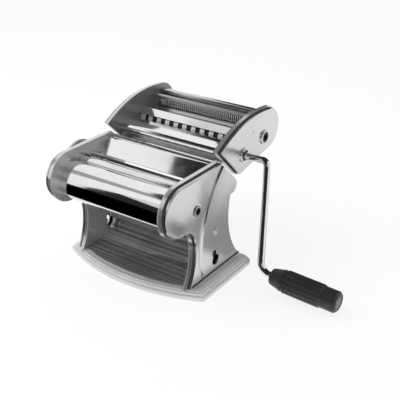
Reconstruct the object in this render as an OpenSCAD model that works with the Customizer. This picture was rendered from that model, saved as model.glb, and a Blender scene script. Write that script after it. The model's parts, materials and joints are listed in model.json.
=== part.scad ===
/* [Base] */
// Width of the base tray
base_w = 200; // [196:1:204]
// Depth of the base tray, front middle to rear edge
base_d = 127; // [126:0.5:128]
// Height of the tray's flat top
base_h = 10; // [9.5:0.5:10.5]
// Thickness of the pressed base sheet
base_t = 1.5; // [1:0.1:2]

/* [Body] */
// Inner distance between the side frames
frame_gap = 150; // [148:1:152]
// Thickness of the side frame plates
frame_t = 2; // [1.5:0.1:2]
// Outer half width of the frame's rim
rim_x = 80; // [79.5:0.1:80.5]
// Half width over the side covers
cover_x = 84.5; // [84:0.1:85]
// Thickness of the pressed side covers
cover_t = 1.5; // [1:0.1:1.6]
// Height of the body's top edge
body_top = 143; // [142.5:0.1:143.5]
// Radius of the round front head
head_r = 28.5; // [28:0.1:29]

/* [Smooth rollers] */
// Radius of the smooth rollers
roller_r = 12.5; // [12:0.1:12.5]
// Smallest gap between the smooth rollers
roller_gap = 0.6; // [0.5:0.1:1]
// How far the adjuster opens the rear roller
open_travel = 2.5; // [2:0.1:2.5]
// Radius of the roller journals
journal_r = 4.5; // [4.3:0.1:4.6]
// Teeth on each coupling gear and on the drive gear
gear_teeth = 16; // [16:1:16]
// Teeth on the crank's drive pinion
pinion_teeth = 8; // [8:1:8]

/* [Cutter head] */
// Radius of the cutting rollers over their lands
cutter_r = 10.5; // [10.4:0.1:10.5]
// Radial overlap of the meshing lands
cutter_bite = 0.5; // [0.3:0.1:0.7]
// Depth of the grooves between the lands
groove_d = 2; // [1.5:0.1:2.2]
// Pitch of the wide cutter, two noodle widths
wide_pitch = 13; // [12.8:0.1:13]
// Pitch of the fine cutter, two noodle widths
fine_pitch = 3; // [3:0.1:3.2]

/* [Crank] */
// Radius of the crank rod
rod_r = 4; // [3.9:0.05:4]
// Length of the crank's sloping arm between its bends
arm_len = 107.2; // [90:0.1:107.5]
// Lean of the arm away from the machine
arm_lean = 8.34; // [6:0.1:10]
// Swing of the crank from straight down, towards the front
crank_swing = 17.5; // [16:0.5:20]
// Length of the hand grip
grip_len = 83; // [80:1:84]

/* [Adjuster] */
// Outer radius of the thickness knob
knob_r = 23.5; // [22:0.1:24]
// Number of thickness settings
settings = 10; // [10:1:10]
// Angle between two settings
setting_step = 20; // [20:1:20]

/* [Hidden] */
$fn = 96;
eps = 0.02;
play = 0.05;
steel = "silver";
bright = "gainsboro";
dark = [0.12, 0.12, 0.13];

// Side frame planes, as half widths
frame_in = frame_gap / 2;
frame_out = frame_in + frame_t;
cover_in = frame_out + 1;
panel_in = cover_x - cover_t;

// Side outline of the body, as [Y, Z]
head = [-57.5, body_top - head_r];
lobe = [38.5, 108];
lobe_r = 9;
chin = [-54, 65];
chin_r = 21.3;
shin = [-120, 56];
shin_r = 87.6;
heel = [118.7, 73];
heel_r = 87.5;
slope_sum = 159.5;

// Side outline of the cutter head, as [Y, Z]
top_c = [95, 27.5];
top_r = 151;
tail = [115.5, 152.9];
tail_r = 24.3;
nose_sum = 170.5;
belly_at = [120.2, 129.1];
belly_slope = 0.19;
tip_r = 4;

// Smooth roller axes, as [Y, Z]
front_axis = [-34, 119.4];
rear_way = [0.927, -0.375];
rear_axis = front_axis + (2 * roller_r + roller_gap) * rear_way;
knob_axis = rear_axis + open_travel / 2 * rear_way;
drive_axis = [-34.17, 107.3];
rear_angle = atan2(rear_way[1], rear_way[0]);
drive_arm = rear_axis - drive_axis;
drive_angle = atan2(drive_arm[1], drive_arm[0]);

// Cutting roller axes, as [Y, Z]
cutter_gap = 2 * cutter_r - cutter_bite;
wide_axis = [61.5, 137.9];
wide_tilt = 20;
fine_tilt = 38;
fine_axis = [106.04, 145.5];
wide_rear = wide_axis + cutter_gap * [cos(wide_tilt), sin(wide_tilt)];
fine_rear = fine_axis + cutter_gap * [cos(fine_tilt), sin(fine_tilt)];
socket_r = rod_r + 0.08;
hub_r = 6.5;

// Gears, as half widths and modules
gear_in = frame_out + 0.6;
gear_w = 4;
hub_gap = 0.4;
smooth_module = (2 * roller_r + roller_gap) / gear_teeth;
drive_module = 2 * norm(drive_arm) / (gear_teeth + pinion_teeth);
cutter_module = cutter_gap / gear_teeth;

/* Helpers */

// Solid of a side outline drawn in [Y, Z], between two X positions
module slab(x0, x1) translate([x0, 0, 0]) rotate([90, 0, 90]) linear_extrude(x1 - x0) children();

// Round bar along X about a side point
module bar(at, r, x0, x1) translate([x0, at[0], at[1]]) rotate([0, 90, 0]) cylinder(r = r, h = x1 - x0);

// Cone along X about a side point
module taper(at, r0, r1, x0, x1) {
    translate([x0, at[0], at[1]]) rotate([0, 90, 0]) cylinder(r1 = r0, r2 = r1, h = x1 - x0);
}

// Body turned about the X line through a side point, its profile drawn as [radius, X]
module spun(at) translate([0, at[0], at[1]]) rotate([0, 90, 0]) rotate_extrude() children();

// Puts right-hand children on the left as well
module both() {
    children();
    mirror([1, 0, 0]) children();
}

function unit(v) = v / norm(v);
function normal(a, b) = let (d = unit(b - a)) [-d[1], d[0]];
function before(p, i) = i == 0 ? normal(p[0], p[1]) : normal(p[i - 1], p[i]);
function after(p, i) = i == len(p) - 1 ? before(p, i) : normal(p[i], p[i + 1]);
function mitre(p, i, t) = p[i] + t * (before(p, i) + after(p, i)) / (1 + before(p, i) * after(p, i));

// Bent sheet that follows side points, thickened to the left of its direction
module sheet(p, t) polygon(concat(p, [for (i = [len(p) - 1:-1:0]) mitre(p, i, t)]));

// Rolled sheet: an arc band from angle a0 to a1, with its outer radius r
module rolled(c, r, t, a0, a1) {
    reach = 2 * r;
    steps = ceil((a1 - a0) / 60);
    translate(c) intersection() {
        difference() {
            circle(r);
            circle(r - t);
        }
        polygon(concat([[0, 0]], [for (i = [0:steps])
            let (a = a0 + (a1 - a0) * i / steps) reach * [cos(a), sin(a)]]));
    }
}

function involute(r, base) = r <= base ? 0 : let (a = acos(base / r)) tan(a) * 180 / PI - a;

// Half the angle of a tooth at radius r
function tooth_half(r, n, m) = let (pitch_r = n * m / 2, base = pitch_r * cos(20))
    90 / n - backlash * 90 / (PI * pitch_r) + involute(pitch_r, base) - involute(r, base);

backlash = 0.2;
flank_steps = 4;

// Spur gear outline with its first tooth along +Y
module gear_outline(n, m) {
    pitch_r = n * m / 2;
    root = pitch_r - 1.25 * m;
    flank = max(root, pitch_r * cos(20));
    radii = concat([root], [for (i = [0:flank_steps]) flank + (pitch_r + m - flank) * i / flank_steps]);
    polygon([for (k = [0:n - 1]) each concat(
        [for (r = radii) let (a = 360 * k / n - tooth_half(r, n, m)) r * [cos(a), sin(a)]],
        [for (i = [len(radii) - 1:-1:0]) let (r = radii[i], a = 360 * k / n + tooth_half(r, n, m))
            r * [cos(a), sin(a)]])]);
}

// Spur gear on a shaft, turned so that a tooth points along the given side angle
module gear(at, n, m, angle, bore, x0, x1) slab(x0, x1) translate(at) difference() {
    rotate(angle) gear_outline(n, m);
    circle(bore);
}

/* Outlines */

module base_outline(inset) intersection() {
    corner = 9 - inset / 2;
    half = base_w / 2 - inset;
    rear = base_d / 2 - inset;
    translate([0, 165.4]) circle(228.9 - inset, $fn = 360);
    union() {
        translate([-half, -base_d]) square([2 * half, base_d + rear - corner]);
        translate([corner - half, -base_d]) square([2 * (half - corner), base_d + rear]);
        for (side = [-1, 1])
            translate([side * (half - corner), rear - corner]) circle(corner + eps);
    }
}

module body_outline(grow) {
    slope = slope_sum + grow * sqrt(2);
    top = body_top + grow;
    touch = lobe + (lobe_r + grow) * [cos(45), sin(45)];
    translate(head) circle(head_r + grow);
    translate(lobe) circle(lobe_r + grow + eps);
    difference() {
        polygon([[head[0] + 1.5, 112], [chin[0], 112], [chin[0], base_h], [62, base_h], [62, lobe[1]],
            lobe, touch, [slope - top, top], [head[0] + 1.5, top]]);
        translate(chin) circle(chin_r - grow);
        intersection() {
            translate(shin) circle(shin_r - grow / 2);
            translate([-80, 0]) square([80, 62]);
        }
        intersection() {
            translate(heel) circle(heel_r - grow);
            square([90, lobe[1]]);
        }
    }
}

module cutter_outline(grow) {
    nose = nose_sum - grow * sqrt(2);
    belly = belly_at[1] - belly_slope * belly_at[0] - grow * norm([1, belly_slope]);
    low = atan(belly_slope);
    inner = tip_r + grow;
    tip_c = let (n = nose + inner * sqrt(2), b = belly + inner * norm([1, belly_slope]))
        [(n - b) / (1 + belly_slope), n - (n - b) / (1 + belly_slope)];
    nose_cut = tip_c - inner * [cos(45), sin(45)];
    belly_cut = tip_c + inner * [sin(low), -cos(low)];
    foot = tail + (tail_r + grow) * [sin(low), -cos(low)];
    over = unit(tail - top_c);
    translate(tail) circle(tail_r + grow);
    translate(tip_c) circle(inner + eps);
    intersection() {
        translate(top_c) circle(top_r + grow, $fn = 360);
        polygon([nose_cut, belly_cut, foot, tail, tail + 40 * over, [10, 200], [nose - 200, 200]]);
    }
}

// Table clamp hole: a round top that opens into a wider lower part
module clamp_hole() {
    translate([3, 36]) circle(4.2);
    translate([5.8, 27]) circle(6.6);
}

/* Base */

module base_tray() color(steel) difference() {
    union() {
        linear_extrude(4.5) base_outline(0);
        translate([0, 0, 4.4]) linear_extrude(3.6) base_outline(step_in[0]);
        translate([0, 0, 7.9]) linear_extrude(base_h - 7.9) base_outline(step_in[1]);
    }
    translate([0, 0, -1]) linear_extrude(1 + 4.5 - base_t) base_outline(base_t);
    translate([0, 0, -1]) linear_extrude(1 + 8 - base_t) base_outline(step_in[0] + base_t);
    translate([0, 0, -1]) linear_extrude(1 + base_h - base_t) base_outline(step_in[1] + base_t);
    for (side = [-1, 1], y = foot_screw_y)
        translate([side * foot_screw_x, y, 0]) cylinder(r = 2, h = 20);
}

step_in = [2.5, 5];
foot_screw_x = 79.5;
foot_screw_y = [-22, 8, 38];

foot_r = [5, 6];
foot_x = 86.5;
foot_y = [-32, 50.5];

module rubber_feet() color(dark) for (side = [-1, 1], y = foot_y)
    translate([side * foot_x, y, 0]) cylinder(r1 = foot_r[0], r2 = foot_r[1], h = base_h - base_t);

module foot_screws() color(steel) for (side = [-1, 1], y = foot_screw_y)
    translate([side * foot_screw_x, y, 0]) {
        translate([0, 0, base_h - base_t - 1.6]) cylinder(r = 3.6, h = 1.6);
        translate([0, 0, base_h - base_t - 0.1]) cylinder(r = 2, h = base_t + 1.6);
    }

/* Side frames and covers */

rod_spots = [[-60, 103], [20, 122], [38.5, 108], [36, 30]];
rod_spigot = 2.4;
cover_screw_at = [5.8, 64.8];
window_h = 13.2;

// Window for a sliding bearing block, in the direction that the rear roller opens
module block_window() translate(rear_axis) rotate(rear_angle)
    translate([-6.6, -window_h / 2]) square([open_travel + 13.3, window_h]);

// Plate with an outward rim, for one side at positive X
module body_frame() {
    slab(frame_in, frame_out) body_outline(2);
    slab(frame_in, rim_x) difference() {
        body_outline(2);
        body_outline(0.4);
    }
    translate([frame_in, -43, base_h]) cube([84 - frame_in, 100, 2]);
}

module frame_cuts() {
    bar(front_axis, 7, 70, 79);
    slab(70, 78) block_window();
    slab(70, 90) clamp_hole();
    bar(cover_screw_at, 2, 70, 90);
    for (p = rod_spots) bar(p, rod_spigot, 70, 78);
    for (y = foot_screw_y) translate([foot_screw_x, y, 0]) cylinder(r = 2, h = 11.5);
}

module left_frame() color(bright) mirror([1, 0, 0]) difference() {
    body_frame();
    frame_cuts();
    for (a = housing_legs) bar(knob_axis + leg_ring * [cos(a), sin(a)], 1.2, 70, 79);
}

module right_frame() color(bright) difference() {
    body_frame();
    frame_cuts();
    bar(drive_axis, rod_r + play, 70, 79);
}

dome_c = [-46, 113];
dome_r = 287;
dome_x = 87.3;

// Shallow dome of a given height over the head, as a lens about X
module dome(shrink, x_cut) spun(dome_c) intersection() {
    translate([0, dome_x - dome_r]) circle(dome_r - shrink, $fn = 720);
    translate([0, x_cut]) square([60, 10]);
}

// Raised rib that sweeps from the head down to the foot
module sweep_rib(x0, x1, shrink) difference() {
    taper([106.5, 45], 132.5 - shrink, 131 - shrink, x0, x1);
    taper([103, 5], 125 + shrink - 0.1, 126.6 + shrink, x0 - 0.1, x1 + 0.1);
}

module body_cover() difference() {
    union() {
        slab(cover_in, cover_x) body_outline(0);
        intersection() {
            slab(cover_x - 0.5, 90) body_outline(-1.2);
            union() {
                dome(0, cover_x - 0.4);
                sweep_rib(cover_x - 0.4, cover_x + 2.5, 0);
            }
        }
    }
    slab(cover_in - 1, panel_in) body_outline(-cover_t);
    translate([cover_in - 1, -100, 0]) cube([20, 200, base_h + 2]);
    slab(70, 90) clamp_hole();
    bar(cover_screw_at, 2, 70, 90);
    taper(cover_screw_at, 3.6, 6, cover_x - 0.8, cover_x + 0.1);
}

module left_cover() color(steel) mirror([1, 0, 0]) difference() {
    body_cover();
    bar(knob_axis, 17.5, 70, 92);
    bar(knob_axis, knob_r + 1.2, cover_x, 92);
}

module right_cover() color(steel) difference() {
    body_cover();
    bar(drive_axis, 8.3, 70, 92);
}

module cover_screws() color(bright) both() {
    bar(cover_screw_at, 2, frame_in, cover_x - 0.8);
    taper(cover_screw_at, 3.5, 2.6, cover_x - 0.8, cover_x + 0.8);
}

module crank_ring() color(bright) difference() {
    bar(drive_axis, 8.3, panel_in, cover_x + 2.6);
    bar(drive_axis, hub_r + play, 70, 92);
}

/* Sheet parts between the frames */

guard_c = [-53, 109.5];
guard_r = 22.5;

module front_guard() color(bright) difference() {
    slab(-frame_in, frame_in) rolled(guard_c, guard_r, 1.2, 65, 235);
    for (side = [-1, 1])
        linear_extrude(200) polygon([[side * 64, -40], [side * 64, -43.5], [side * 80, -62], [side * 80, -40]]);
}

feed_low = [-10, 127.2];
feed_high = [11, 139.7];

module feed_plate() color(bright) difference() {
    slab(-frame_in, frame_in) sheet([feed_low, feed_high, [15, 140.2], [15, body_top + 0.6],
        [17, body_top + 0.6], [30.2, 130.4]], -1);
    for (side = [-1, 1])
        linear_extrude(138) polygon([[side * 62, -20], [side * 62, -10], [side * 74, 9.5], [side * 80, 9.5],
            [side * 80, -20]]);
}

nip = (front_axis + rear_axis) / 2;

// Dough guides that fill the valley between the rollers at both ends
module side_guides() color(bright) both() slab(66.5, frame_in) difference() {
    polygon([[-31, 134.4], [-27, 134.4], [-9, 128.6], [-9, 123.6], [-16, 118], nip, [-28, 118]]);
    translate(front_axis) circle(roller_r + 0.4);
    translate(rear_axis) circle(roller_r + 0.4);
    translate(rear_axis + open_travel * rear_way) circle(roller_r + 0.4);
}

ramp_c = [-30, 69.5];
ramp_r = 59.5;

module back_ramp() color(bright) {
    intersection() {
        translate([0, 0, base_h]) linear_extrude(1) base_outline(11);
        translate([-frame_in, -80, 0]) cube([2 * frame_in, 80 + ramp_c[0] + 0.5, 30]);
    }
    slab(-frame_in, frame_in) {
        rolled(ramp_c, ramp_r, 1, -90, 0);
        translate([ramp_c[0] + ramp_r - 1, ramp_c[1] - 0.1]) square([1, 25.5]);
    }
}

module tie_rods() color(steel) for (p = rod_spots) {
    bar(p, 3.5, -frame_in, frame_in);
    both() {
        bar(p, rod_spigot, frame_in - 1, frame_out);
        taper(p, 3.6, 2.8, frame_out, frame_out + 0.9);
    }
}

tongue_w = 12;
tongue_x = [-48, 48];
rail_top = 120;

// Cross rail with pockets for the cutter head's tongues
module rear_rail() color(steel) difference() {
    slab(-frame_in, frame_in) sheet([[27, 112], [27, rail_top], [38, rail_top], [38, 116]], -1.2);
    for (x = tongue_x)
        translate([x - tongue_w / 2 - 0.15, 31.85, 100]) cube([tongue_w + 0.3, 2.3, 30]);
}

module front_scraper() color(bright) slab(-frame_in, frame_in)
    sheet([front_axis - (roller_r + 0.3) * [cos(48), sin(48)], [-52, 100.5], [-52, 96]], 0.8);

module rear_scraper() color(bright) slab(-frame_in, frame_in)
    sheet([rear_axis + open_travel * rear_way + (roller_r + 0.3) * [cos(60), -sin(60)], [7, 89], [7, 84]], 0.8);

/* Bearings, rollers and gears of the smooth pair */

module front_bushes() color("goldenrod") both() difference() {
    bar(front_axis, 7, frame_in - 0.3, frame_out + 0.3);
    bar(front_axis, journal_r + play, 70, 80);
}

roller_x = frame_in - 0.5;

module front_roller() color(bright) {
    bar(front_axis, roller_r, -roller_x, roller_x);
    bar(front_axis, journal_r, -gear_in - gear_w - 0.4, -roller_x);
    bar(front_axis, journal_r, roller_x, frame_out + 0.3);
}

module front_coupling_gear() color("dimgray")
    gear(front_axis, gear_teeth, smooth_module, rear_angle, journal_r, -gear_in - gear_w, -gear_in);

module bearing_blocks() color("goldenrod") both() slab(frame_in - 0.3, frame_out + 0.3)
    translate(rear_axis) rotate(rear_angle) difference() {
        square(13, center = true);
        circle(journal_r + play);
    }

bush_r = 5.6;
bush_x = [-90, -82];

module adjuster_bush() color("goldenrod") difference() {
    bar(rear_axis, bush_r, bush_x[0], bush_x[1]);
    bar(rear_axis, journal_r + play, -95, -80);
}

module rear_roller() color(bright) {
    bar(rear_axis, roller_r, -roller_x, roller_x);
    bar(rear_axis, journal_r, bush_x[0] - 0.4, -roller_x);
    bar(rear_axis, journal_r, roller_x, gear_in + gear_w + 0.4);
}

module rear_coupling_gear() color("dimgray")
    gear(rear_axis, gear_teeth, smooth_module, rear_angle + 180 + 180 / gear_teeth, journal_r,
        -gear_in - gear_w, -gear_in);

// Narrower than its pinion, so that the teeth stay clear of the hub beside them
module drive_gear() color("dimgray")
    gear(rear_axis, gear_teeth, drive_module, drive_angle + 180 + 180 / gear_teeth, journal_r,
        gear_in, gear_in + gear_w - hub_gap);

hub_end = cover_x + 4;

module drive_pinion() color("dimgray") {
    bar(drive_axis, rod_r, frame_in + 0.1, gear_in + 0.1);
    difference() {
        union() {
            gear(drive_axis, pinion_teeth, drive_module, drive_angle, 0.5, gear_in, gear_in + gear_w);
            bar(drive_axis, 4.2, gear_in, gear_in + gear_w);
            bar(drive_axis, hub_r, gear_in + gear_w - 0.05, hub_end);
        }
        bar(drive_axis, socket_r, gear_in + 1, 100);
    }
}

/* Thickness adjuster on the left side */

housing_legs = [98, 218, 338];
leg_ring = 18;
sleeve_r = 10;
housing_x = [-86, panel_in * -1, -81.9];
groove_ring = 14;
pin_r = 1.1;

module adjuster_housing() color(steel) {
    difference() {
        union() {
            bar(knob_axis, 20, housing_x[1], housing_x[2]);
            bar(knob_axis, 17.2, housing_x[0], housing_x[1] + 0.1);
        }
        bar(knob_axis, sleeve_r + play, -90, -80);
        difference() {
            bar(knob_axis, groove_ring + pin_r + 0.3, housing_x[0] - 1, housing_x[0] + 1.4);
            bar(knob_axis, groove_ring - pin_r - 0.3, housing_x[0] - 2, housing_x[0] + 2);
        }
        for (k = [0:settings - 1])
            bar(knob_axis + groove_ring * [cos(90 + k * setting_step), sin(90 + k * setting_step)], 1.3,
                housing_x[0] + 1, housing_x[0] + 2.6);
    }
    for (a = housing_legs) {
        bar(knob_axis + leg_ring * [cos(a), sin(a)], 1.6, housing_x[2] - 0.1, -frame_out);
        bar(knob_axis + leg_ring * [cos(a), sin(a)], 1.2, -frame_out - 0.1, -frame_in);
    }
}

shaft_r = 7;
shaft_end = -104;
flat_half = 6;

// Eccentric sleeve with an outer shaft that carries the knob on two flats
module eccentric_shaft() color("dimgray") difference() {
    union() {
        bar(knob_axis, sleeve_r, -91.9, housing_x[2]);
        slab(shaft_end, -91.8) translate(knob_axis) intersection() {
            circle(shaft_r);
            square([2 * flat_half, 20], center = true);
        }
    }
    bar(rear_axis, bush_r + open_travel / 2 + play, -90.9, -80);
}

wire_r = 0.35;
spring_r = 8.4;
spring_pitch = 0.8;
spring_turns = 5;

// Turns of the spring that pushes the knob in, closed up against the washer
module knob_spring() color("gray") for (i = [1:spring_turns])
    spun(knob_axis) translate([spring_r, shaft_end + i * spring_pitch]) circle(wire_r, $fn = 24);

module knob_washer() color(steel) {
    bar(knob_axis, 9.6, shaft_end - 1.2, shaft_end);
    taper(knob_axis, 2.6, 4.2, shaft_end - 2.4, shaft_end - 1.2);
}

knob_x = [-108.4, -86.4];
web_x = [-94.6, -92.1];

module adjuster_knob() color(bright) {
    difference() {
        spun(knob_axis) polygon([[17.6, knob_x[1]], [knob_r, knob_x[1]], [knob_r, knob_x[1] - 3],
            [knob_r - 1.2, knob_x[1] - 4], [knob_r - 1.2, knob_x[0] + 5], [knob_r - 2.6, knob_x[0] + 1.2],
            [knob_r - 4.4, knob_x[0]], [10.4, knob_x[0]], [10.4, web_x[0]], [5, web_x[0]], [5, web_x[1]],
            [17.6, web_x[1]]]);
        slab(-96, -91) translate(knob_axis) intersection() {
            circle(shaft_r + play);
            square([2 * flat_half + 0.1, 20], center = true);
        }
        for (k = [0:23])
            bar(knob_axis + (knob_r + 0.3) * [cos(k * 15), sin(k * 15)], 1.5, knob_x[0] - 1, knob_x[1] - 4.5);
    }
    bar(knob_axis + [0, groove_ring], pin_r, web_x[1] - 0.2, housing_x[0] + 1.2);
}

/* Cutter head */

module cutter_frame() {
    slab(frame_in, frame_out) cutter_outline(2);
    slab(frame_in, rim_x) difference() {
        cutter_outline(2);
        cutter_outline(0.4);
    }
}

cutter_rods = [[42, 146.3], [71, 125.6], [100, 168.6]];
cutter_rod_r = 2.6;

module cutter_rod_holes() for (p = cutter_rods) bar(p, rod_spigot, 70, 79);

module cutter_left_frame() color(bright) mirror([1, 0, 0]) difference() {
    cutter_frame();
    for (p = [wide_axis, wide_rear, fine_axis, fine_rear]) bar(p, journal_r + play, 70, 79);
    cutter_rod_holes();
}

module cutter_right_frame() color(bright) difference() {
    cutter_frame();
    for (p = [wide_axis, fine_axis]) bar(p, hub_r + play, 70, 79);
    for (p = [wide_rear, fine_rear]) bar(p, journal_r + play, 70, 79);
    cutter_rod_holes();
}

dimple_at = [82, 156];

module cutter_cover() difference() {
    slab(cover_in, cover_x) cutter_outline(0);
    slab(cover_in - 1, panel_in) cutter_outline(-cover_t);
    translate([cover_x + 12.1, dimple_at[0], dimple_at[1]]) sphere(r = 13);
}

module cutter_left_cover() color(steel) mirror([1, 0, 0]) cutter_cover();

module cutter_right_cover() color(steel) difference() {
    cutter_cover();
    for (p = [wide_axis, fine_axis]) bar(p, 8.3, 70, 92);
}

module cutter_crank_rings() color(bright) for (p = [wide_axis, fine_axis]) difference() {
    bar(p, 8.3, panel_in, cover_x + 2.2);
    bar(p, hub_r + play, 70, 92);
}

module cutter_tray() color(bright) slab(-frame_in, frame_in)
    sheet([[43, 139.4], [34.8, 145], [33.4, 147.8], [34.2, 150.9], [37, 151.6], [58, 150.9]], -1);

// Front rail whose tongues drop into the body's rear rail
module cutter_rail() color(steel) {
    slab(-frame_in, frame_in) translate([33, 135]) square([1.5, 7.4]);
    for (x = tongue_x) {
        translate([x - tongue_w / 2, 32, 108]) cube([tongue_w, 2, 29]);
        translate([x - tongue_w / 2 - 3, 32, rail_top]) cube([tongue_w + 6, 2, 17]);
    }
}

module cutter_divider() color(bright) slab(-frame_in, frame_in)
    sheet([[69, 153.6], [73, 161.5], [103, 158.4], [104, 156.6]], -1);

module cutter_rear_bar() color(bright) slab(-frame_in, frame_in) {
    rolled(tail, 20, 0.8, -40, 97);
    sheet([tail + 20 * [cos(97), sin(97)], [112, 170], [111.2, 163.7]], 0.8);
}

module cutter_tie_rods() color(steel) for (p = cutter_rods) {
    bar(p, cutter_rod_r, -frame_in, frame_in);
    both() {
        bar(p, rod_spigot, frame_in - 1, frame_out);
        taper(p, 3.6, 2.8, frame_out, frame_out + 0.9);
    }
}

// Land positions of a cutting roller: shift 0 has a land in the middle, shift 0.5 a groove
function lands(pitch, shift) = let (n = floor((64.5 - pitch / 2) / pitch))
    [for (k = [-n - 2 * shift:n]) (k + shift) * pitch];

// Half the width of a land, with side play between meshing lands
function land_half(pitch) = pitch / 4 - (pitch > 6 ? 0.1 : 0.06);

// Radius of the plain collars at the drum's ends, which clear the mating drum
end_r = cutter_r - cutter_bite / 2 - 0.1;

// Cutting roller: a grooved drum turned from one profile
module cutting_drum(at, pitch, shift) spun(at) polygon(concat(
    [[0, -roller_x], [end_r, -roller_x], [end_r, -66.5], [cutter_r - groove_d, -66.5]],
    [for (x = lands(pitch, shift)) each [
        [cutter_r - groove_d, x - land_half(pitch)], [cutter_r, x - land_half(pitch)],
        [cutter_r, x + land_half(pitch)], [cutter_r - groove_d, x + land_half(pitch)]]],
    [[cutter_r - groove_d, 66.5], [end_r, 66.5], [end_r, roller_x], [0, roller_x]]));

// Front roller with a crank socket in its right end
module socket_roller(at, pitch) difference() {
    union() {
        cutting_drum(at, pitch, 0);
        bar(at, journal_r, -gear_in - gear_w - 0.4, -roller_x);
        bar(at, hub_r, roller_x, cover_x + 2);
    }
    bar(at, socket_r, 62, 100);
}

module plain_roller(at, pitch) {
    cutting_drum(at, pitch, 0.5);
    bar(at, journal_r, -gear_in - gear_w - 0.4, -roller_x);
    bar(at, journal_r, roller_x, frame_out + 0.3);
}

module wide_front_roller() color(bright) socket_roller(wide_axis, wide_pitch);

module wide_rear_roller() color(bright) plain_roller(wide_rear, wide_pitch);

module fine_front_roller() color(bright) socket_roller(fine_axis, fine_pitch);

module fine_rear_roller() color(bright) plain_roller(fine_rear, fine_pitch);

module lead_gear(at, tilt) gear(at, gear_teeth, cutter_module, tilt, journal_r, -gear_in - gear_w, -gear_in);

module mate_gear(at, tilt) gear(at, gear_teeth, cutter_module, tilt + 180 + 180 / gear_teeth, journal_r,
    -gear_in - gear_w, -gear_in);

module wide_front_gear() color("dimgray") lead_gear(wide_axis, wide_tilt);

module wide_rear_gear() color("dimgray") mate_gear(wide_rear, wide_tilt);

module fine_front_gear() color("dimgray") lead_gear(fine_axis, fine_tilt);

module fine_rear_gear() color("dimgray") mate_gear(fine_rear, fine_tilt);

// Stripping comb: fingers that lie in a roller's grooves, on a strip beside it at angle a
module comb(at, pitch, shift, a) {
    finger = pitch / 2 - land_half(pitch) - 0.15;
    for (x = lands(pitch, 0.5 - shift)) slab(x - finger, x + finger) {
        rolled(at, cutter_r - 0.4, groove_d - 0.8, a - 35, a + 45);
        translate(at) rotate(a) translate([cutter_r - 1.2, -0.6]) square([2.2, 1.2]);
    }
    slab(-frame_in, frame_in) translate(at) rotate(a) translate([cutter_r + 0.8, -3]) square([1.2, 6]);
}

module wide_combs() color(bright) {
    comb(wide_axis, wide_pitch, 0, 228);
    comb(wide_rear, wide_pitch, 0.5, -48);
}

module fine_combs() color(bright) {
    comb(fine_axis, fine_pitch, 0, 228);
    comb(fine_rear, fine_pitch, 0.5, -70);
}

/* Crank */

bend_r = [7, 15];
bend_x = 109.5;
droop = 2.3;
rod_in = 66;
first_c = [bend_x, -bend_r[0]];
first_end = first_c + bend_r[0] * [cos(arm_lean), sin(arm_lean)];
second_start = first_end + arm_len * [sin(arm_lean), -cos(arm_lean)];
second_c = second_start + bend_r[1] * [cos(arm_lean), sin(arm_lean)];
pin_start = second_c + bend_r[1] * [-sin(droop), -cos(droop)];
pin_len = 82;
bite = 0.05;

// Places the crank's own plane, with its arm hanging along -Z, on the wide cutter's axis
module crank_plane() translate([0, wide_axis[0], wide_axis[1]]) rotate([-crank_swing, 0, 0]) children();

// Rod bend about a centre in the crank's plane, from angle a0 through da
module rod_bend(c, r, a0, da) translate([c[0], 0, c[1]]) rotate([90, 0, 0]) rotate([0, 0, a0])
    rotate_extrude(angle = da) translate([r, 0]) circle(rod_r + eps, $fn = 48);

module crank_rod() color(bright) crank_plane() {
    translate([rod_in, 0, 0]) rotate([0, 90, 0]) cylinder(r = rod_r, h = bend_x - rod_in + bite);
    rod_bend(first_c, bend_r[0], arm_lean, 90 - arm_lean);
    translate([first_end[0], 0, first_end[1]]) rotate([0, 180 - arm_lean, 0])
        translate([0, 0, -bite]) cylinder(r = rod_r, h = arm_len + 2 * bite);
    rod_bend(second_c, bend_r[1], 180 + arm_lean, 90 - arm_lean - droop);
    grip_frame(-grip_at - bite) cylinder(r = rod_r, h = pin_len);
    grip_frame(-1.2) cylinder(r = 6.6, h = 1.1);
}

grip_at = 3.6;

// Runs along the grip from its inner end, with +Z outwards
module grip_frame(along) translate([pin_start[0], 0, pin_start[1]]) rotate([0, 90 + droop, 0])
    translate([0, 0, grip_at + along]) children();

flute_r = 1.7;
flutes = 14;

module hand_grip() color(dark) crank_plane() grip_frame(0) difference() {
    rotate_extrude() polygon([[rod_r + 0.08, 0], [8.9, 0], [9.6, 1], [12.1, 12], [12.7, 13.4], [12.7, 15],
        [12, 15.6], [12, 17], [13.5, 18.4], [13.5, 62], [12.9, 63.4], [12.4, 64], [12.4, grip_len - 2.5],
        [10.6, grip_len - 0.4], [9.8, grip_len], [7.2, grip_len], [7.2, grip_len - 1.4],
        [0, grip_len - 1.4], [0, grip_len - 2.6], [rod_r + 0.08, grip_len - 2.6]]);
    for (k = [0:flutes - 1])
        rotate(k * 360 / flutes) translate([14.4, 0, 19]) cylinder(r = flute_r, h = 42.5, $fn = 32);
}

module grip_cap() color("gray") crank_plane() grip_frame(0)
    translate([0, 0, grip_len - 1.4]) cylinder(r1 = 7.2, r2 = 7, h = 1.1);

base_tray();
rubber_feet();
foot_screws();
left_frame();
right_frame();
left_cover();
right_cover();
cover_screws();
front_guard();
feed_plate();
side_guides();
back_ramp();
tie_rods();
rear_rail();
front_scraper();
rear_scraper();
front_bushes();
crank_ring();
adjuster_housing();
front_roller();
front_coupling_gear();
bearing_blocks();
adjuster_bush();
rear_roller();
rear_coupling_gear();
drive_gear();
drive_pinion();
eccentric_shaft();
knob_spring();
knob_washer();
adjuster_knob();
cutter_left_frame();
cutter_right_frame();
cutter_left_cover();
cutter_right_cover();
cutter_tray();
cutter_rail();
cutter_divider();
cutter_rear_bar();
cutter_tie_rods();
wide_combs();
fine_combs();
cutter_crank_rings();
wide_front_roller();
wide_rear_roller();
wide_front_gear();
wide_rear_gear();
fine_front_roller();
fine_rear_roller();
fine_front_gear();
fine_rear_gear();
crank_rod();
hand_grip();
grip_cap();
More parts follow.
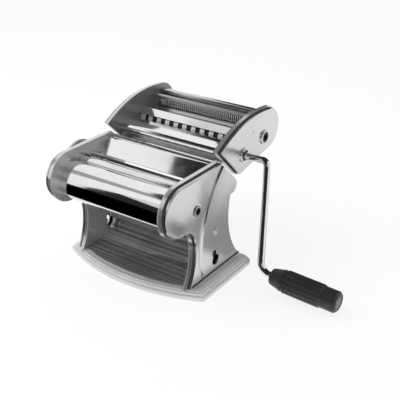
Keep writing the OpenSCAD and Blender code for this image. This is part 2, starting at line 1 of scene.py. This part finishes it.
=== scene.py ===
"""Looks of a hand-cranked pasta machine: chromed and satin sheet steel, ground
rollers, a ribbed black grip, and the studio that they stand in."""

import json
import math

import bpy
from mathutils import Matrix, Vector


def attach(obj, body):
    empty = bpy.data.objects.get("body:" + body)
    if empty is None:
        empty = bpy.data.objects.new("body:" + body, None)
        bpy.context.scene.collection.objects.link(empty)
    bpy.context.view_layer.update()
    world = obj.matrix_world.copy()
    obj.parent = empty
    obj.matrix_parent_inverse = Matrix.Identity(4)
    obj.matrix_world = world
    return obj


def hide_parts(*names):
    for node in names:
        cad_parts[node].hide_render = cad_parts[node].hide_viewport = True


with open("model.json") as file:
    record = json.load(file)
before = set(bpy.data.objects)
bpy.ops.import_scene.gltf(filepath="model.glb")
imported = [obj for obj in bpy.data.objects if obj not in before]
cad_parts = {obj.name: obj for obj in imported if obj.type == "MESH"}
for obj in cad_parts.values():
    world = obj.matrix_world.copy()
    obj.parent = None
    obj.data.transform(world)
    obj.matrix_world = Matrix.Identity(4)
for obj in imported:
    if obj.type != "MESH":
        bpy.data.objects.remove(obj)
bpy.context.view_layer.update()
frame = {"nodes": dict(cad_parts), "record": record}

NODES = frame["nodes"]
BODY_OF = {n: b for b, names in frame["record"]["behaviour"]["bodies"].items() for n in names}
SLOT_OF = {s["node"]: s["material_slot"] for s in frame["record"]["subparts"]}
MM = 0.001

COVERS = ("left_cover", "right_cover", "cutter_left_cover", "cutter_right_cover")
BODY_FRAMES = ("left_frame", "right_frame")
CUTTER_FRAMES = ("cutter_left_frame", "cutter_right_frame")


# ---------------------------------------------------------------- node helpers

NOISE_MIDDLE = (0.35, 0.65)  # the band that most of a noise's values lie in
MIX_SHARE, MIX_DARK, MIX_LIGHT, MIX_RESULT = 0, 6, 7, 2  # a colour mix node's sockets


def even(cycles):
    """The same stretch on every axis."""
    return (cycles,) * 3


def shade(colour, share):
    return [channel * share for channel in colour]


class Recipe:
    """A node-based material with one Principled shader and object coordinates."""

    def __init__(self, name, colour, metallic, roughness):
        self.material = bpy.data.materials.new(name)
        self.material.use_nodes = True
        self.tree = self.material.node_tree
        self.shader = self.tree.nodes["Principled BSDF"]
        self.shader.inputs["Base Color"].default_value = (*colour, 1)
        self.shader.inputs["Metallic"].default_value = metallic
        self.shader.inputs["Roughness"].default_value = roughness
        self.coordinates = self.add("ShaderNodeTexCoord").outputs["Object"]

    def add(self, kind, **settings):
        node = self.tree.nodes.new(kind)
        for key, value in settings.items():
            setattr(node, key, value)
        return node

    def link(self, output, target):
        self.tree.links.new(output, target)

    def drive(self, socket, output):
        self.link(output, self.shader.inputs[socket])

    def noise(self, stretch, detail):
        """Noise over the object, stretched per axis in cycles per metre."""
        mapping = self.add("ShaderNodeMapping")
        self.link(self.coordinates, mapping.inputs["Vector"])
        mapping.inputs["Scale"].default_value = stretch
        node = self.add("ShaderNodeTexNoise")
        self.link(mapping.outputs["Vector"], node.inputs["Vector"])
        node.inputs["Scale"].default_value = 1
        node.inputs["Detail"].default_value = detail
        return node.outputs["Fac"]

    def span(self, value, low, high, band=NOISE_MIDDLE):
        """A number from low to high as value crosses the band."""
        node = self.add("ShaderNodeMapRange")
        self.link(value, node.inputs["Value"])
        node.inputs["From Min"].default_value, node.inputs["From Max"].default_value = band
        node.inputs["To Min"].default_value = low
        node.inputs["To Max"].default_value = high
        return node.outputs["Result"]

    def tint(self, value, dark, light, band=NOISE_MIDDLE):
        """A colour from dark to light as value crosses the band."""
        node = self.add("ShaderNodeMix", data_type="RGBA")
        self.link(self.span(value, 0, 1, band), node.inputs[MIX_SHARE])
        node.inputs[MIX_DARK].default_value = (*dark, 1)
        node.inputs[MIX_LIGHT].default_value = (*light, 1)
        return node.outputs[MIX_RESULT]

    def bump(self, height, strength, depth):
        """A surface normal from a height, with the relief's depth in millimetres."""
        node = self.add("ShaderNodeBump")
        node.inputs["Strength"].default_value = strength
        node.inputs["Distance"].default_value = depth * MM
        self.link(height, node.inputs["Height"])
        return node.outputs["Normal"]

    def past(self, value, edge, soft):
        """0 below an edge and 1 above it, with edge and soft in millimetres."""
        return self.span(value, 0, 1, ((edge - soft) * MM, (edge + soft) * MM))

    def off_middle(self):
        """The distance from the machine's middle plane."""
        parts = self.add("ShaderNodeSeparateXYZ")
        self.link(self.coordinates, parts.inputs[0])
        size = self.add("ShaderNodeMath", operation="ABSOLUTE")
        self.link(parts.outputs["X"], size.inputs[0])
        return size.outputs[0]

    def off_axis(self, axis):
        """The distance from an axis along X, which is given by its Y and Z."""
        centred = self.add("ShaderNodeVectorMath", operation="SUBTRACT")
        self.link(self.coordinates, centred.inputs[0])
        centred.inputs[1].default_value = (0, axis[0] * MM, axis[1] * MM)
        across = self.add("ShaderNodeVectorMath", operation="MULTIPLY")
        self.link(centred.outputs[0], across.inputs[0])
        across.inputs[1].default_value = (0, 1, 1)
        radius = self.add("ShaderNodeVectorMath", operation="LENGTH")
        self.link(across.outputs[0], radius.inputs[0])
        return radius.outputs["Value"]


# ---------------------------------------------------------------- finishes

WHOLE = (0, 1)  # the band of a share
SOFT_EDGE = 0.2  # half the width in which one finish passes into the next
RIM_FACE = 76.2  # where a frame's inner face passes into its rim
LAND_RADIUS = 9.6  # where a cutting roller's grooves pass into its lands
PLATED_GREY = (0.62, 0.62, 0.63)
# painted highlight for the cutting rollers' lands and painted shade for their grooves
LAND_PAINTED_HIGHLIGHT = (0.93, 0.93, 0.93)
GROOVE_PAINTED_SHADE = (0.05, 0.05, 0.05)


def polished_sheet(name, colour=(0.80, 0.80, 0.81), smooth=0.045, dull=0.11):
    """Chromed sheet: mirror bright, with faint waviness and wiped smudges."""
    r = Recipe(name, colour, metallic=1, roughness=smooth)
    r.drive("Roughness", r.span(r.noise(even(26), detail=5), low=smooth, high=dull))
    r.drive("Base Color", r.tint(r.noise(even(9), detail=2), shade(colour, 0.94), colour))
    r.drive("Normal", r.bump(r.noise(even(9), detail=0), strength=0.05, depth=1))
    return r.material


def satin_sheet(name, colour, grain=(30, 900, 900), smooth=0.24, dull=0.36,
                relief=0.05, metallic=1):
    """Pressed sheet with a fine lapped grain under a thin bright plating."""
    r = Recipe(name, colour, metallic, roughness=smooth)
    lines = r.noise(grain, detail=4)
    r.drive("Roughness", r.span(lines, low=smooth, high=dull))
    r.drive("Base Color", r.tint(r.noise(even(14), detail=3), shade(colour, 0.93), colour))
    r.drive("Normal", r.bump(lines, strength=relief, depth=0.04))
    return r.material


def plated_frame(name, inside=PLATED_GREY):
    """Side plate: a bright rolled rim round a duller inner face."""
    r = Recipe(name, PLATED_GREY, metallic=1, roughness=0.1)
    rim = r.past(r.off_middle(), RIM_FACE, SOFT_EDGE)
    waves = r.noise(even(26), detail=5)
    r.drive("Roughness", r.span(rim, low=0.34, high=0.17, band=WHOLE))
    r.drive("Metallic", r.span(rim, low=0.5, high=0.75, band=WHOLE))
    # a darker inside colour is painted shade on the inner face
    r.drive("Base Color", r.tint(rim, inside, PLATED_GREY, WHOLE))
    r.drive("Normal", r.bump(waves, strength=0.05, depth=0.6))
    return r.material


def rolled_sheet(name, colour=(0.72, 0.71, 0.72)):
    """Rolled sheet of the ramp: bright, with dark drawing lines along its width."""
    r = Recipe(name, colour, metallic=0.75, roughness=0.2)
    lines = r.noise((2, 260, 260), detail=5)
    r.drive("Roughness", r.span(lines, low=0.2, high=0.1))
    r.drive("Base Color", r.tint(lines, shade(colour, 0.42), colour, band=(0.38, 0.58)))
    return r.material


def grooved_roller(name, axis):
    """Cutting roller: painted highlight on lands, painted shade in grooves, parted by radius.
    """
    r = Recipe(name, (0.9, 0.9, 0.9), metallic=0.4, roughness=0.3)
    land = r.past(r.off_axis(axis), LAND_RADIUS, SOFT_EDGE)
    r.drive("Base Color", r.tint(land, GROOVE_PAINTED_SHADE, LAND_PAINTED_HIGHLIGHT, WHOLE))
    r.drive("Roughness", r.span(r.noise((900, 60, 60), detail=3), low=0.25, high=0.38))
    return r.material


def ground_roller(name, colour=(0.74, 0.74, 0.75)):
    """Cylindrically ground steel: faint rings round the X axis."""
    r = Recipe(name, colour, metallic=1, roughness=0.1)
    rings = r.noise((2600, 3, 3), detail=2)
    r.drive("Roughness", r.span(rings, low=0.06, high=0.16))
    r.drive("Base Color", r.tint(r.noise((22, 8, 8), detail=3), shade(colour, 0.92), colour))
    r.drive("Normal", r.bump(rings, strength=0.04, depth=0.2))
    return r.material


def machined(name, colour):
    """Turned and milled metal of gears, bushes and shafts."""
    r = Recipe(name, colour, metallic=1, roughness=0.22)
    marks = r.noise(even(500), detail=4)
    r.drive("Roughness", r.span(marks, low=0.22, high=0.42))
    r.drive("Base Color", r.tint(r.noise(even(60), detail=4), shade(colour, 0.7), colour))
    r.drive("Normal", r.bump(marks, strength=0.1, depth=0.2))
    return r.material


def moulded(name, colour, smooth=0.32, dull=0.5):
    """Moulded plastic or rubber with a fine spark-eroded skin."""
    r = Recipe(name, colour, metallic=0, roughness=smooth)
    skin = r.noise(even(1500), detail=2)
    r.drive("Roughness", r.span(r.noise(even(120), detail=3), low=smooth, high=dull))
    r.drive("Base Color", r.tint(r.noise(even(45), detail=3), shade(colour, 0.8), colour))
    r.drive("Normal", r.bump(skin, strength=0.12, depth=0.2))
    return r.material


CHROME = polished_sheet("chromed_sheet")
RIM_CHROME = plated_frame("plated_frame")
# the cutter frames' dark inner face is painted shade between the frames
CUTTER_CHROME_AND_PAINTED_SHADE = plated_frame("plated_cutter_frame", inside=(0.26, 0.26, 0.27))
RAMP_STEEL = rolled_sheet("rolled_sheet")
ROD_CHROME = polished_sheet("chromed_rod", (0.82, 0.82, 0.83), smooth=0.03, dull=0.07)
COVER_STEEL = polished_sheet("satin_cover", (0.72, 0.72, 0.71), smooth=0.23, dull=0.28)
TRAY_STEEL = satin_sheet("satin_tray", (0.84, 0.84, 0.845), grain=(40, 300, 300),
                         smooth=0.3, dull=0.36, relief=0.01, metallic=0.4)
KNOB_STEEL = satin_sheet("satin_knob", (0.50, 0.50, 0.51), grain=(400, 30, 30),
                         smooth=0.26, dull=0.32, relief=0.01, metallic=0.8)
BAR_STEEL = satin_sheet("satin_bar", (0.56, 0.56, 0.57), grain=(20, 600, 600),
                        smooth=0.12, dull=0.18, relief=0.02)
INNER_STEEL = satin_sheet("inner_sheet", (0.55, 0.55, 0.56))
ROLLER_STEEL = ground_roller("ground_roller")
GEAR_STEEL = machined("gear_steel", (0.42, 0.42, 0.43))
BRONZE = machined("bush_bronze", (0.66, 0.52, 0.30))
BLACK_PLASTIC = moulded("black_grip_plastic", (0.030, 0.030, 0.032))
GREY_PLASTIC = moulded("grey_cap_plastic", (0.22, 0.22, 0.23))
# foot rubber, which also paints the black strips that stand in for shadow gaps
RUBBER_AND_PAINTED_SHADOW = moulded("foot_rubber", (0.05, 0.05, 0.05), smooth=0.6, dull=0.8)

SLOT_FINISH = {
    "polished_steel": CHROME, "satin_steel": INNER_STEEL, "roller_steel": ROLLER_STEEL,
    "gear_steel": GEAR_STEEL, "bronze": BRONZE, "black_plastic": BLACK_PLASTIC,
    "grey_plastic": GREY_PLASTIC, "foot_rubber": RUBBER_AND_PAINTED_SHADOW,
}
NODE_FINISH = {
    "cutter_rear_bar": BAR_STEEL, "adjuster_knob": KNOB_STEEL, "base_tray": TRAY_STEEL,
    "crank_rod": ROD_CHROME, "back_ramp": RAMP_STEEL,
    **dict.fromkeys(COVERS, COVER_STEEL),
    **dict.fromkeys(BODY_FRAMES, RIM_CHROME),
    **dict.fromkeys(CUTTER_FRAMES, CUTTER_CHROME_AND_PAINTED_SHADE),
}
CUTTER_AXES = {  # Y and Z in millimetres
    "wide_front_roller": (61.5, 137.9), "wide_rear_roller": (80.7637, 144.9114),
    "fine_front_roller": (106.04, 145.5), "fine_rear_roller": (122.1942, 158.1211),
}
# each cutting roller: painted highlight on its lands, painted shade in its grooves
for node, axis in CUTTER_AXES.items():
    NODE_FINISH[node] = grooved_roller(node.replace("roller", "lands"), axis)


def finish_of(node):
    """A node's own finish, or else the one of its material slot."""
    return NODE_FINISH.get(node, SLOT_FINISH[SLOT_OF[node]])


def paint(piece, material):
    piece.data.materials.clear()
    piece.data.materials.append(material)


for node, thing in NODES.items():
    paint(thing, finish_of(node))


# ---------------------------------------------------------------- finished pieces

MERGED = 0.002  # vertices nearer than this are one, in millimetres
FLAT_ANGLE = 0.6  # degrees: faces that meet under it are one flat
SHARP_ANGLE = 34  # degrees: edges over it are rounded
SMOOTH_ANGLE = 48  # degrees: edges under it are shaded smooth
SHADOW_STRIP_SMOOTH_ANGLE = 30  # the same for a painted shadow strip
FLATS_WEIGHT = 100  # the flats' full say in the shading beside them


def choose(piece):
    bpy.ops.object.select_all(action="DESELECT")
    piece.select_set(True)
    bpy.context.view_layer.objects.active = piece


def shaded(piece, angle):
    choose(piece)
    bpy.ops.object.shade_smooth_by_angle(angle=math.radians(angle))


def applied(piece, name, kind, **settings):
    """Adds a modifier to the chosen piece and applies it."""
    modifier = piece.modifiers.new(name, kind)
    for key, value in settings.items():
        setattr(modifier, key, value)
    bpy.ops.object.modifier_apply(modifier=modifier.name)


def rounded(piece, edge, segments=2):
    """Rounds the sharp edges and keeps the flats between them flat."""
    choose(piece)
    applied(piece, "edges", "BEVEL", width=edge * MM, segments=segments,
            limit_method="ANGLE", angle_limit=math.radians(SHARP_ANGLE))
    shaded(piece, SMOOTH_ANGLE)
    applied(piece, "flats", "WEIGHTED_NORMAL", mode="FACE_AREA", weight=FLATS_WEIGHT,
            keep_sharp=True)


def opened(node, name):
    """A copy of a node's mesh under a new name, in edit mode with its seams merged."""
    piece = bpy.data.objects.new(name, NODES[node].data.copy())
    bpy.context.scene.collection.objects.link(piece)
    choose(piece)
    bpy.ops.object.mode_set(mode="EDIT")
    bpy.ops.mesh.select_all(action="SELECT")
    bpy.ops.mesh.remove_doubles(threshold=MERGED * MM)
    bpy.ops.mesh.customdata_custom_splitnormals_clear()
    return piece


def dressed(node, suffix, edge, segments=2):
    """A copy of a node's mesh with its pressed, folded or turned edges rounded."""
    piece = opened(node, f"{node}_{suffix}")
    bpy.ops.mesh.dissolve_limited(angle_limit=math.radians(FLAT_ANGLE))
    bpy.ops.object.mode_set(mode="OBJECT")
    rounded(piece, edge, segments)
    paint(piece, finish_of(node))
    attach(piece, BODY_OF[node])
    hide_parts(node)


COVER_EDGE = 0.6
PRESSED_EDGE = 0.35
SHEET_EDGE = 0.22
TURNED_EDGE = 0.3
PRESSED_SEGMENTS = 3
FOLDED = (*BODY_FRAMES, *CUTTER_FRAMES, "front_guard", "feed_plate", "back_ramp",
          "side_guides", "cutter_tray", "cutter_rail", "cutter_divider",
          "cutter_rear_bar", "rear_rail")
TURNED = ("crank_ring", "cutter_crank_rings", "cover_screws", "adjuster_knob",
          "adjuster_housing", "tie_rods", "cutter_tie_rods", "hand_grip", "grip_cap")

for node in COVERS:
    dressed(node, "pressed", COVER_EDGE, PRESSED_SEGMENTS)
dressed("base_tray", "pressed", PRESSED_EDGE, PRESSED_SEGMENTS)
for node in FOLDED:
    dressed(node, "folded", SHEET_EDGE)
for node in TURNED:
    dressed(node, "turned", TURNED_EDGE)

WALL_SLICE = (83.3, 84.0)  # where a cover's side wall is cut for its outline
SHADOW_GAP_SPAN = (79.8, 82.3)  # the painted shadow strip's inner and outer faces, from the middle plane
SHADOW_GAP_DEPTH = 0.35  # how far it stands out from the cover's wall


def shadow_gap_strip(cover, body):
    """Painted shadow: a black strip round a cover's side wall, between it and the frame's
    rim.
    """
    name = cover.replace("cover", "shadow_gap_strip")
    side = 1 if "right" in cover else -1
    opened(cover, name)
    for at, keep in ((WALL_SLICE[0], -side), (WALL_SLICE[1], side)):
        bpy.ops.mesh.select_all(action="SELECT")
        bpy.ops.mesh.bisect(plane_co=(side * at * MM, 0, 0), plane_no=(keep, 0, 0),
                            clear_outer=True, use_fill=False)
    bpy.ops.mesh.separate(type="LOOSE")
    bpy.ops.object.mode_set(mode="OBJECT")
    loops = list(bpy.context.selected_objects)
    outline = max(loops, key=lambda loop: loop.dimensions.y + loop.dimensions.z)
    for loop in loops:
        if loop is not outline:
            bpy.data.objects.remove(loop)
    outline.name = name
    middle = sum(WALL_SLICE) / 2 * MM
    inner, outer = SHADOW_GAP_SPAN
    for v in outline.data.vertices:
        v.co.x = side * (outer if abs(v.co.x) > middle else inner) * MM
    choose(outline)
    applied(outline, "depth", "SOLIDIFY", thickness=SHADOW_GAP_DEPTH * MM, offset=1)
    shaded(outline, SHADOW_STRIP_SMOOTH_ANGLE)
    paint(outline, RUBBER_AND_PAINTED_SHADOW)
    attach(outline, body)


# painted shadow gaps: black strips round the covers' side walls
for node in COVERS:
    shadow_gap_strip(node, BODY_OF[node])

# the black strips that paint the shadow gap under the side covers
FOOT_SHADOW_STRIP = {"x": 84.6, "thick": 0.7, "middle": 7.0, "length": 97, "low": 12.0,
             "high": 2.6, "rounding": 0.25}


def foot_shadow_strip(side, name):
    """Painted shadow: a black strip along a side cover's foot, on the frame's flange."""
    bpy.ops.object.select_all(action="DESELECT")
    bpy.ops.mesh.primitive_cube_add(size=1, location=(0, 0, 0))
    strip = bpy.context.object
    strip.name = name
    for v in strip.data.vertices:
        v.co.x = (side * FOOT_SHADOW_STRIP["x"] + v.co.x * FOOT_SHADOW_STRIP["thick"]) * MM
        v.co.y = (FOOT_SHADOW_STRIP["middle"] + v.co.y * FOOT_SHADOW_STRIP["length"]) * MM
        v.co.z = (FOOT_SHADOW_STRIP["low"] + (v.co.z + 0.5) * FOOT_SHADOW_STRIP["high"]) * MM
    rounded(strip, FOOT_SHADOW_STRIP["rounding"])
    paint(strip, RUBBER_AND_PAINTED_SHADOW)
    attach(strip, "machine")


foot_shadow_strip(1, "right_foot_shadow_strip")
foot_shadow_strip(-1, "left_foot_shadow_strip")

DIAL = {"radius": 26.2, "wall": 3.7, "wide": 4.4, "x": -105.6, "axis": (-9.11, 109.331),
        "facets": 96, "rounding": 1.2, "segments": 4}


def knob_dial():
    """The ring round the knob's outer end, which turns and slides with it."""
    bpy.ops.object.select_all(action="DESELECT")
    bpy.ops.mesh.primitive_cylinder_add(vertices=DIAL["facets"], radius=DIAL["radius"] * MM,
                                        depth=DIAL["wide"] * MM, location=(0, 0, 0),
                                        end_fill_type="NOTHING")
    rim = bpy.context.object
    rim.name = "knob_dial"
    for v in rim.data.vertices:
        x, y, z = v.co
        v.co = (z + DIAL["x"] * MM, y + DIAL["axis"][0] * MM, DIAL["axis"][1] * MM - x)
    choose(rim)
    applied(rim, "wall", "SOLIDIFY", thickness=DIAL["wall"] * MM, offset=-1)
    rounded(rim, DIAL["rounding"], DIAL["segments"])
    paint(rim, KNOB_STEEL)
    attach(rim, BODY_OF["adjuster_knob"])


knob_dial()


# ---------------------------------------------------------------- studio

FLOOR_SIZE = 8
FLOOR_DROP = 0.0002
FLOOR_WHITE = 0.9
FLOOR_GLOW = 1.05
GLOW_SHARE = 0.8  # how much of what the camera sees of the floor is its glow
WORLD_FILL = 0.75
WORLD_IN_GLOSS = 0.03
CORNER_SEGMENTS = 8


def emptied(holder):
    """The cleared node tree of a new material or world."""
    holder.use_nodes = True
    holder.node_tree.nodes.clear()
    return holder.node_tree


def wired(tree, *pairs):
    for output, target in pairs:
        tree.links.new(output, target)


def emitter(name, strength):
    material = bpy.data.materials.new(name)
    tree = emptied(material)
    glow = tree.nodes.new("ShaderNodeEmission")
    glow.inputs["Color"].default_value = (1, 1, 1, 1)
    glow.inputs["Strength"].default_value = strength
    output = tree.nodes.new("ShaderNodeOutputMaterial")
    wired(tree, (glow.outputs[0], output.inputs[0]))
    return material


def card(name, centre, size, facing, strength, corner=0.0):
    """A panel that only reflections see: its centre, size and facing direction."""
    bpy.ops.object.select_all(action="DESELECT")
    bpy.ops.mesh.primitive_plane_add(size=1, location=(0, 0, 0))
    panel = bpy.context.object
    panel.name = name
    for v in panel.data.vertices:
        v.co.x *= size[0]
        v.co.y *= size[1]
    if corner:
        bpy.ops.object.mode_set(mode="EDIT")
        bpy.ops.mesh.select_all(action="SELECT")
        bpy.ops.mesh.bevel(offset=corner, segments=CORNER_SEGMENTS, affect="VERTICES")
        bpy.ops.object.mode_set(mode="OBJECT")
    turn = Vector(facing).to_track_quat("Z", "Y")
    panel.data.transform(turn.to_matrix().to_4x4())
    panel.location = centre
    panel.visible_camera = False
    panel.visible_diffuse = False
    panel.visible_shadow = False
    paint(panel, emitter(name + "_glow", strength))


def floor():
    """A matt floor that takes shadows, with a white glow for the camera and reflections."""
    bpy.ops.object.select_all(action="DESELECT")
    bpy.ops.mesh.primitive_plane_add(size=FLOOR_SIZE, location=(0, 0, -FLOOR_DROP))
    ground = bpy.context.object
    ground.name = "studio_floor"
    material = bpy.data.materials.new("white_floor")
    tree = emptied(material)
    cloth = tree.nodes.new("ShaderNodeBsdfDiffuse")
    cloth.inputs["Color"].default_value = (*even(FLOOR_WHITE), 1)
    glow = tree.nodes.new("ShaderNodeEmission")
    glow.inputs["Strength"].default_value = FLOOR_GLOW
    path = tree.nodes.new("ShaderNodeLightPath")
    seen = tree.nodes.new("ShaderNodeMath")
    seen.operation = "MAXIMUM"
    share = tree.nodes.new("ShaderNodeMath")
    share.operation = "MULTIPLY"
    share.inputs[1].default_value = GLOW_SHARE
    mix = tree.nodes.new("ShaderNodeMixShader")
    output = tree.nodes.new("ShaderNodeOutputMaterial")
    wired(tree,
          (path.outputs["Is Camera Ray"], seen.inputs[0]),
          (path.outputs["Is Glossy Ray"], seen.inputs[1]),
          (seen.outputs[0], share.inputs[0]),
          (share.outputs[0], mix.inputs[0]),
          (cloth.outputs[0], mix.inputs[1]),
          (glow.outputs[0], mix.inputs[2]),
          (mix.outputs[0], output.inputs[0]))
    paint(ground, material)


def surroundings():
    """World: white to the camera, a plain fill for matt surfaces, dim in reflections."""
    world = bpy.data.worlds.new("studio")
    bpy.context.scene.world = world
    tree = emptied(world)
    path = tree.nodes.new("ShaderNodeLightPath")
    fill = tree.nodes.new("ShaderNodeBackground")
    fill.inputs["Strength"].default_value = WORLD_FILL
    dim = tree.nodes.new("ShaderNodeBackground")
    dim.inputs["Strength"].default_value = WORLD_IN_GLOSS
    white = tree.nodes.new("ShaderNodeBackground")
    white.inputs["Color"].default_value = (1, 1, 1, 1)
    for_gloss = tree.nodes.new("ShaderNodeMixShader")
    for_camera = tree.nodes.new("ShaderNodeMixShader")
    output = tree.nodes.new("ShaderNodeOutputWorld")
    wired(tree,
          (path.outputs["Is Glossy Ray"], for_gloss.inputs[0]),
          (fill.outputs[0], for_gloss.inputs[1]),
          (dim.outputs[0], for_gloss.inputs[2]),
          (path.outputs["Is Camera Ray"], for_camera.inputs[0]),
          (for_gloss.outputs[0], for_camera.inputs[1]),
          (white.outputs[0], for_camera.inputs[2]),
          (for_camera.outputs[0], output.inputs[0]))


def lamp(name, place, aim, size, watts):
    """A square lamp that reflections don't see."""
    data = bpy.data.lights.new(name, "AREA")
    data.shape = "SQUARE"
    data.size = size
    data.energy = watts
    light = bpy.data.objects.new(name, data)
    bpy.context.scene.collection.objects.link(light)
    light.location = place
    light.rotation_euler = (Vector(aim) - Vector(place)).to_track_quat("-Z", "Y").to_euler()
    light.visible_glossy = False


floor()
surroundings()
lamp("key_light", place=(-0.7, -0.5, 1.2), aim=(0, 0, 0.05), size=0.9, watts=9)

TO_RIGHT, TO_LEFT, UP = (1, 0, 0), (-1, 0, 0), (0, 0, 1)
LEFT_WALL = -0.6
ON_FLOOR = 0.001
card("left_softbox", (LEFT_WALL, 0.15, 0.56), size=(1.80, 1.02), facing=TO_RIGHT,
     strength=1.06, corner=0.06)
card("left_grey_strip", (LEFT_WALL + 0.01, -0.25, 0.56), size=(0.26, 1.0), facing=TO_RIGHT,
     strength=0.42)
card("high_left_card", (LEFT_WALL, -1.13, 0.82), size=(0.75, 0.52), facing=TO_RIGHT,
     strength=0.8, corner=0.05)
card("right_softbox", (0.9, 0.90, 0.70), size=(2.2, 1.3), facing=TO_LEFT,
     strength=0.9, corner=0.1)
card("camera_side_card", (0.95, -0.92, 0.82), size=(0.6, 0.6), facing=(-0.66, 0.57, -0.49),
     strength=0.7, corner=0.08)
card("front_flag", (-1.99, -2.039, ON_FLOOR), size=(4.12, 3.922), facing=UP,
     strength=0.0, corner=0.1)
card("right_floor_grey", (0.147, 0.20, ON_FLOOR), size=(0.10, 0.30), facing=UP,
     strength=0.33, corner=0.02)


# ---------------------------------------------------------------- camera

CAMERA_AT = Vector((0.48674, -0.59776, 0.46995))
CAMERA_AZIMUTH = 35.10
CAMERA_ELEVATION = 26.81
FOCAL_SHARE = 735 / 400  # the focal length as a share of the picture's width
SENSOR = 36

view = bpy.data.cameras.new("camera")
view.sensor_width = SENSOR
view.lens = SENSOR * FOCAL_SHARE
camera = bpy.data.objects.new("camera", view)
bpy.context.scene.collection.objects.link(camera)
camera.location = CAMERA_AT
camera.rotation_euler = (math.radians(90 - CAMERA_ELEVATION), 0, math.radians(CAMERA_AZIMUTH))
bpy.context.scene.camera = camera
bpy.context.scene.view_settings.view_transform = "Standard"
